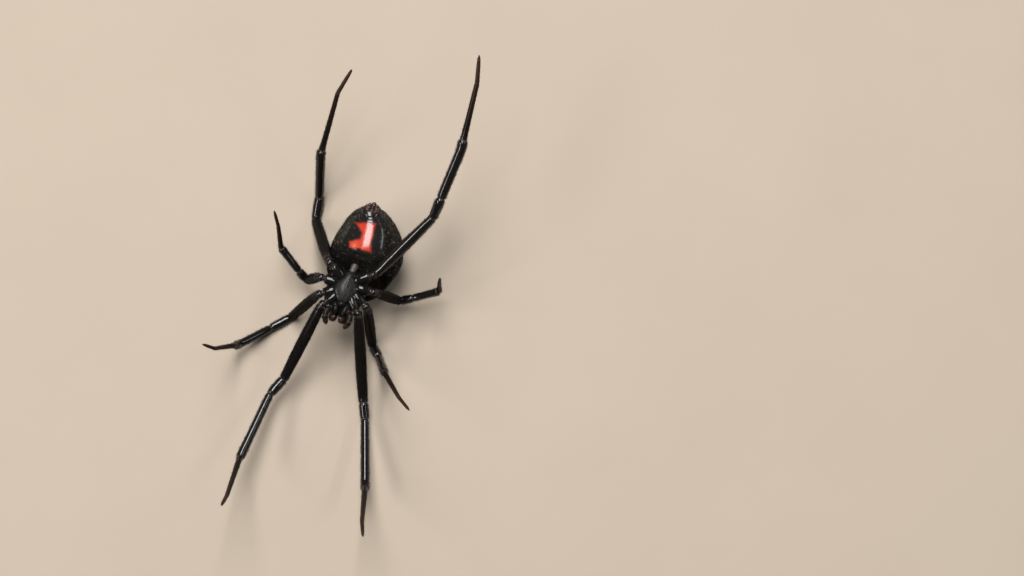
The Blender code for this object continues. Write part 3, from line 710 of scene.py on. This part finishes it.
def abdomenFinish():
    coat = Coat("abdomen", Coat_Roughness=0.16, Specular_IOR_Level=0.0)
    mask, red = hourglassOn(coat)
    fine, broad = coat.noise(9000, 3), coat.noise(700, 3)
    colour = coat.mixed(broad, (0.0060, 0.0057, 0.0056), (0.0125, 0.0115, 0.0090))
    colour = coat.mixed(mask, colour, red)
    pits = coat.node("ShaderNodeTexVoronoi", {}, {"Vector": coat.where, "Scale": 5200.0}, "Distance")
    flank = coat.step(7.3, 5.2, coat.z)
    rightSide = coat.step(1.45, 2.1, coat.x)
    nearFurrow = coat.step(4.5, 4.15, coat.y) * coat.step(0.45, 0.05, coat.x)
    shine = (1.0 - 0.84 * flank) * (1.0 - 0.35 * rightSide) * (1.0 - 0.8 * nearFurrow)
    coat.put(coat.surface.inputs["Coat Weight"], shine)
    roughness = 0.22 + 0.10 * fine + 0.16 * flank
    return coat.finish(colour, roughness, pits * (0.25 + 2.2 * rightSide) + fine * 0.15 + broad * 0.5, 0.000007)


def sternumFinish():
    coat = Coat("sternum", Coat_Weight=0.2, Coat_Roughness=0.2, Specular_IOR_Level=0.12)
    fine, broad = coat.noise(8000, 3), coat.noise(1500, 2)
    # Paler in broad random patches, a tone of the plate's own, and in a stripe along the midline, which is a painted
    # highlight of the midline ridge.
    paintedMidlineHighlight = coat.step(0.30, 0.0, (coat.x * coat.x))
    colour = coat.mixed(broad * 0.5 + paintedMidlineHighlight * 0.4, (0.005, 0.0048, 0.0048), (0.018, 0.017, 0.016))
    pits = coat.node("ShaderNodeTexVoronoi", {}, {"Vector": coat.where, "Scale": 3600.0}, "Distance")
    return coat.finish(colour, 0.34 + 0.14 * fine, fine * 1.2 + broad + pits * 0.9, 0.00004)


def spinnerFinish():
    coat = Coat("spinneret", Coat_Weight=0.4, Coat_Roughness=0.12)
    soft, fine = coat.attribute("membrane"), coat.noise(9000, 3)
    colour = coat.mixed(coat.noise(1800, 2), (0.013, 0.0075, 0.0065), (0.060, 0.022, 0.017))
    colour = coat.mixed(soft * 0.6, colour, (0.20, 0.125, 0.10))
    return coat.finish(colour, 0.28 + 0.16 * fine, fine, 0.00002)


def mouthFinish():
    coat = Coat("mouthparts", Coat_Weight=0.15, Coat_Roughness=0.10, Specular_IOR_Level=0.05)
    place, soft = coat.attribute("place"), coat.attribute("membrane")
    fine = coat.noise(9500, 3)
    red = coat.step(-6.4, -5.0, place) * (0.35 + 0.6 * coat.noise(1500, 2))
    colour = coat.mixed(red, (0.0065, 0.0055, 0.005), (0.030, 0.0105, 0.0068))
    colour = coat.mixed(soft * 0.5, colour, (0.07, 0.045, 0.032))
    return coat.finish(colour, 0.24 + 0.14 * fine, fine, 0.00002)


def waistFinish():
    coat = Coat("waist", Coat_Weight=0.2, Coat_Roughness=0.25)
    fine = coat.noise(7000, 3)
    # Paler than the rest of the skin: partly the stalk's own brown-grey tone, partly a painted highlight.
    colour = coat.mixed(coat.noise(1600, 2), (0.040, 0.031, 0.026), (0.105, 0.085, 0.072))
    return coat.finish(colour, 0.38 + 0.15 * fine, fine, 0.00003)


def eyeFinish():
    coat = Coat("eye", Coat_Weight=1.0, Coat_Roughness=0.03)
    depth = coat.noise(2500, 1)
    return coat.finish(coat.mixed(depth, (0.006, 0.005, 0.005), (0.030, 0.016, 0.010)), 0.06 + 0.05 * depth, depth, 0.000004)


def hornFinish():
    coat = Coat("horn", Coat_Weight=0.7, Coat_Roughness=0.06)
    grain = coat.noise(6000, 2)
    colour = coat.mixed(grain, (0.018, 0.0065, 0.0045), (0.047, 0.016, 0.009))
    return coat.finish(colour, 0.16 + 0.12 * grain, grain, 0.000008)


def hairFinish(name, dark, light):
    coat = Coat(name, Specular_IOR_Level=0.0)
    mask, red = hourglassOn(coat)
    colour = coat.mixed(coat.step(0.46, 0.66, coat.noise(3400, 1)), dark, light)
    colour = coat.mixed(mask * 0.7, colour, red)
    return coat.finish(colour, 0.42, coat.noise(20000, 1), 0.000003)


finishes = {
    "cuticle": cuticleFinish, "abdomen": abdomenFinish, "sternum": sternumFinish,
    "spinneret": spinnerFinish, "mouth": mouthFinish, "waist": waistFinish,
}
skin.data.materials.clear()
for kind in kinds:
    skin.data.materials.append(finishes[kind]())
faceCount = len(skin.data.polygons)
centres = np.empty(faceCount * 3)
skin.data.polygons.foreach_get("center", centres)
centres = centres.reshape(-1, 3)
faceNote = nearestNotes(centres)
skin.data.polygons.foreach_set("material_index", notes["kind"][faceNote])
skin.data.update()
print("skin painted")


def dress(piece, finish):
    bpy.ops.object.select_all(action="DESELECT")
    piece.select_set(True)
    bpy.context.view_layer.objects.active = piece
    bpy.ops.object.shade_smooth()
    if finish is not None:
        piece.data.materials.append(finish)
    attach(piece, "root")


def addClaws():
    for (number, side), (centres, place) in legTips.items():
        girth = legs["girths"][number]
        end = centres[-1]
        ahead = unit(end - centres[-6])
        under = np.array((0.0, 0.0, 10.0)) - end
        under = unit(under - ahead * under.dot(ahead))
        aside = np.cross(ahead, under)
        for way, long in ((-1, 1.0), (1, 1.0), (0, 0.75)):
            root = end - ahead * 0.12 + aside * way * 0.02 * girth
            middle = end + (ahead * 0.02 + aside * way * 0.055 - under * 0.035 * (abs(way) * 2 - 1)) * long
            tip = end + (ahead * 0.085 + aside * way * 0.07 + under * 0.035) * long
            curve = smoothCurve((root, middle, tip), 9)[0]
            claws.append(limb("claw", curve, np.linspace(0.026, 0.005, 9) * girth, 7)[0])


addClaws()
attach(skin, "root")
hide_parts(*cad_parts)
horn = hornFinish()
dress(joinInto(eyes, "eyes"), eyeFinish())
dress(joinInto(fangs, "fangs"), horn)
dress(joinInto(claws, "claws"), horn.copy())
print("eyes, fangs and claws")

# Hair: how many to the square mm, how long, how thick at the root in mm and how far it lifts in degrees
hairs = {
    "leg": {"close": 46, "long": 0.24, "thick": 0.020, "lift": 30},
    "coxa": {"close": 20, "long": 0.20, "thick": 0.018, "lift": 28},
    "carapace": {"close": 5, "long": 0.13, "thick": 0.014, "lift": 22},
    "sternum": {"close": 20, "long": 0.24, "thick": 0.017, "lift": 30},
    "mouth": {"close": 34, "long": 0.17, "thick": 0.016, "lift": 34},
    "abdomen": {"close": 22, "long": 0.25, "thick": 0.017, "lift": 26},
    "spinneret": {"close": 40, "long": 0.15, "thick": 0.014, "lift": 48},
    "footShare": 0.6, "sink": 0.02, "patch": 0.003,
}


def readMesh(layer, key, count, kind=float):
    values = np.empty(count, kind)
    layer.foreach_get(key, values)
    return values


skin.data.calc_loop_triangles()
triangles = skin.data.loop_triangles
corners = readMesh(triangles, "vertices", len(triangles) * 3, np.int32).reshape(-1, 3)
loops = readMesh(triangles, "loops", len(triangles) * 3, np.int32).reshape(-1, 3)
owner = readMesh(triangles, "polygon_index", len(triangles), np.int32)
skinUv = readMesh(skin.data.uv_layers["OFBake"].uv, "vector", len(skin.data.loops) * 2).reshape(-1, 2)
skinPoints = (readPoints(skin)[corners]) * 1000
cross = np.cross(skinPoints[:, 1] - skinPoints[:, 0], skinPoints[:, 2] - skinPoints[:, 0])
areas = np.linalg.norm(cross, axis=1) / 2
facing = unit(cross)
triangleNote = faceNote[owner]
kindOf, placeOf, softOf = (notes[key][triangleNote] for key in ("kind", "place", "membrane"))
flowOf = notes["flow"][triangleNote]
leftSide = skinPoints.mean(axis=1)[:, 0] + modelOrigin[0] < 0
isKind = {kind: kindOf == index for index, kind in enumerate(kinds)}


def growHairs(name, where, recipe, finish, seed):
    draw = np.random.default_rng(seed)
    weight = areas * where * (1 - 0.8 * softOf)
    count = int(weight.sum() * recipe["close"])
    pick = draw.choice(len(areas), count, p=weight / weight.sum())
    u, v = draw.random(count), draw.random(count)
    over = u + v > 1
    u[over], v[over] = 1 - u[over], 1 - v[over]
    shares = np.column_stack((1 - u - v, u, v))[:, :, None]
    roots = (skinPoints[pick] * shares).sum(axis=1)
    rootUv = (skinUv[loops[pick]] * shares).sum(axis=1)
    normal, flow, place = facing[pick], flowOf[pick], placeOf[pick]
    flat = unit(flow - normal * (flow * normal).sum(axis=1, keepdims=True) + 0.02 * draw.normal(size=(count, 3)))
    aside = np.cross(normal, flat)
    swing = draw.normal(0, 0.30, (count, 1))
    flat = unit(flat * np.cos(swing) + aside * np.sin(swing))
    lift = np.radians(recipe["lift"] * draw.uniform(0.6, 1.5, (count, 1)))
    way = flat * np.cos(lift) + normal * np.sin(lift)
    tipWay = unit(way + flat * draw.uniform(0.1, 0.6, (count, 1)))
    size = np.interp(place, (2.9, 3.6, 4.2), (1, 0.85, hairs["footShare"]))[:, None]
    long = recipe["long"] * size * draw.uniform(0.6, 1.35, (count, 1))
    thick = recipe["thick"] * size * draw.uniform(0.8, 1.2, (count, 1)) / 2
    across = unit(np.cross(way, normal) + 1e-6)
    other = np.cross(way, across)
    base = roots - normal * hairs["sink"]
    middle = base + way * long * 0.55
    tip = middle + tipWay * long * 0.5
    rows = []
    for centre, wide in ((base, 1.0), (middle, 0.72)):
        for turn in (0, 2.0944, 4.1888):
            rows.append(centre + (across * math.cos(turn) + other * math.sin(turn)) * thick * wide)
    rows.append(tip)
    points = np.stack(rows, axis=1).reshape(-1, 3)
    points[:, 2] = np.maximum(points[:, 2], 0.0)
    pattern = [(2, 1, 0), (0, 1, 4), (0, 4, 3), (1, 2, 5), (1, 5, 4), (2, 0, 3), (2, 3, 5), (3, 4, 6), (4, 5, 6), (5, 3, 6)]
    faces = (np.array(pattern)[None] + 7 * np.arange(count)[:, None, None]).reshape(-1, 3)
    mesh = bpy.data.meshes.new(name)
    mesh.vertices.add(len(points))
    mesh.vertices.foreach_set("co", (points * millimetre).ravel())
    mesh.loops.add(len(faces) * 3)
    mesh.loops.foreach_set("vertex_index", faces.astype(np.int32).ravel())
    mesh.polygons.add(len(faces))
    mesh.polygons.foreach_set("loop_start", np.arange(0, len(faces) * 3, 3, dtype=np.int32))
    mesh.update(calc_edges=True)
    mesh.validate()
    spread = np.array([(math.cos(t) * r, math.sin(t) * r) for r in (1, 0.6) for t in (0, 2.0944, 4.1888)] + [(0, 0)])
    patch = (rootUv[:, None] + spread[None] * hairs["patch"] / 2).reshape(-1, 2)
    layer = mesh.uv_layers.new(name="OFBake")
    layer.uv.foreach_set("vector", patch[faces.ravel()].ravel().astype(np.float32))
    piece = bpy.data.objects.new(name, mesh)
    bpy.context.scene.collection.objects.link(piece)
    dress(piece, finish)
    print(name, count, "hairs")


legSkin = isKind["cuticle"] & (placeOf > -0.98)
coxaSkin = isKind["cuticle"] & (placeOf <= -0.98) & (placeOf > -1.8)
shellSkin = isKind["cuticle"] & (placeOf <= -1.8)
darkHair = ((0.007, 0.006, 0.0055), (0.026, 0.020, 0.015))
# The pale hairs' light grey share is a painted sheen, standing for the silver glint of glossy hairs; their dark share
# is the hairs' own tone.
paleSheenHair = ((0.012, 0.0105, 0.009), (0.34, 0.315, 0.285))
growHairs("legHairLeft", legSkin & leftSide, hairs["leg"], hairFinish("legHairLeft", *darkHair), 1)
growHairs("legHairRight", legSkin & ~leftSide, hairs["leg"], hairFinish("legHairRight", *darkHair), 2)
growHairs("hipHair", coxaSkin, hairs["coxa"], hairFinish("hipHair", *darkHair), 3)
growHairs("shellHair", shellSkin, hairs["carapace"], hairFinish("shellHair", *darkHair), 4)
growHairs("chestHair", isKind["sternum"], hairs["sternum"], hairFinish("chestHair", *paleSheenHair), 5)
growHairs("mouthHair", isKind["mouth"], hairs["mouth"], hairFinish("mouthHair", *darkHair), 6)
middles = skinPoints.mean(axis=1)
bellyTop = smoothStep(6.4, 7.4, middles[:, 2])
# The abdomen's right flank gets more hairs, so there the pale ones paint a paler sheen on that side.
onRight = smoothStep(1.5, 2.4, middles[:, 0] + modelOrigin[0]) * smoothStep(4.2, 5.6, middles[:, 2])
onBelly = isKind["abdomen"] * (1 - 0.92 * bellyTop * (1 - onRight) + 0.9 * onRight)
growHairs("abdomenHair", onBelly, hairs["abdomen"], hairFinish("abdomenHair", *paleSheenHair), 7)
growHairs("tailHair", isKind["spinneret"], hairs["spinneret"], hairFinish("tailHair", *paleSheenHair), 8)

# The floor
floorSizes = {"width": 3.0}
bpy.ops.mesh.primitive_plane_add(size=floorSizes["width"])
floor = bpy.context.active_object
floor.name = "floor"
floorCoat = Coat("floor")
speckle = floorCoat.noise(60, 4)
floorColour = floorCoat.mixed(speckle, (0.385, 0.318, 0.250), (0.415, 0.346, 0.274))
floor.data.materials.append(floorCoat.finish(floorColour, 0.75, speckle, 0.0001))

# The studio. Each lamp: direction from the aim, distance, width, length, which way its length runs, power and tint
lamps = {
    "key": ((-0.20, 0.36, 0.92), 0.55, 0.20, 0.46, (-0.2, 1.0, 0.0), 4.3, (1.0, 0.99, 0.98)),
    "side": ((0.62, 0.40, 0.68), 0.60, 0.035, 0.44, (0.0, 1.0, 0.0), 0.55, (0.93, 0.96, 1.0)),
    "back": ((-0.66, -0.32, 0.70), 0.70, 0.12, 0.42, (-0.3, 1.0, 0.0), 2.2, (1.0, 0.97, 0.93)),
}
aim = np.array((0.67, 5.3, 8.4))
for name, (way, distance, width, length, runs, power, tint) in lamps.items():
    lamp = bpy.data.lights.new(name, "AREA")
    lamp.shape, lamp.size, lamp.size_y, lamp.energy, lamp.color = "RECTANGLE", width, length, power, tint
    holder = bpy.data.objects.new(name, lamp)
    bpy.context.scene.collection.objects.link(holder)
    back = unit(way)
    up = unit(np.array(runs) - back * back.dot(runs))
    turn = Matrix(np.column_stack((np.cross(up, back), up, back)).tolist()).to_4x4()
    holder.matrix_world = Matrix.Translation(toModel(aim) + back * distance) @ turn
    holder.visible_camera = False
world = bpy.data.worlds.new("studio")
world.use_nodes = True
world.node_tree.nodes["Background"].inputs["Color"].default_value = (0.95, 0.96, 1.0, 1.0)
world.node_tree.nodes["Background"].inputs["Strength"].default_value = 0.11
bpy.context.scene.world = world
bpy.context.scene.view_settings.view_transform = "Standard"

# The camera looks from 80 degrees above the floor, turned 16 degrees, and 10 pixels of 1024 are one mm
camera = {"turn": 16, "height": 80, "distance": 1.0, "aside": 0.0166, "frameWidth": 0.1024}
turn, climb = math.radians(camera["turn"]), math.radians(camera["height"])
back = np.array((math.sin(turn) * math.cos(climb), -math.cos(turn) * math.cos(climb), math.sin(climb)))
right = np.array((math.cos(turn), math.sin(turn), 0.0))
lens = bpy.data.cameras.new("camera")
lens.sensor_width = 36
lens.lens = 36 * camera["distance"] / camera["frameWidth"]
lens.clip_start = 0.01
eye = bpy.data.objects.new("camera", lens)
bpy.context.scene.collection.objects.link(eye)
spot = toModel((0, 0, 6.9)) + right * camera["aside"] + back * camera["distance"]
eye.matrix_world = Matrix.Translation(spot) @ Matrix(np.column_stack((right, np.cross(back, right), back)).tolist()).to_4x4()
bpy.context.scene.camera = eye
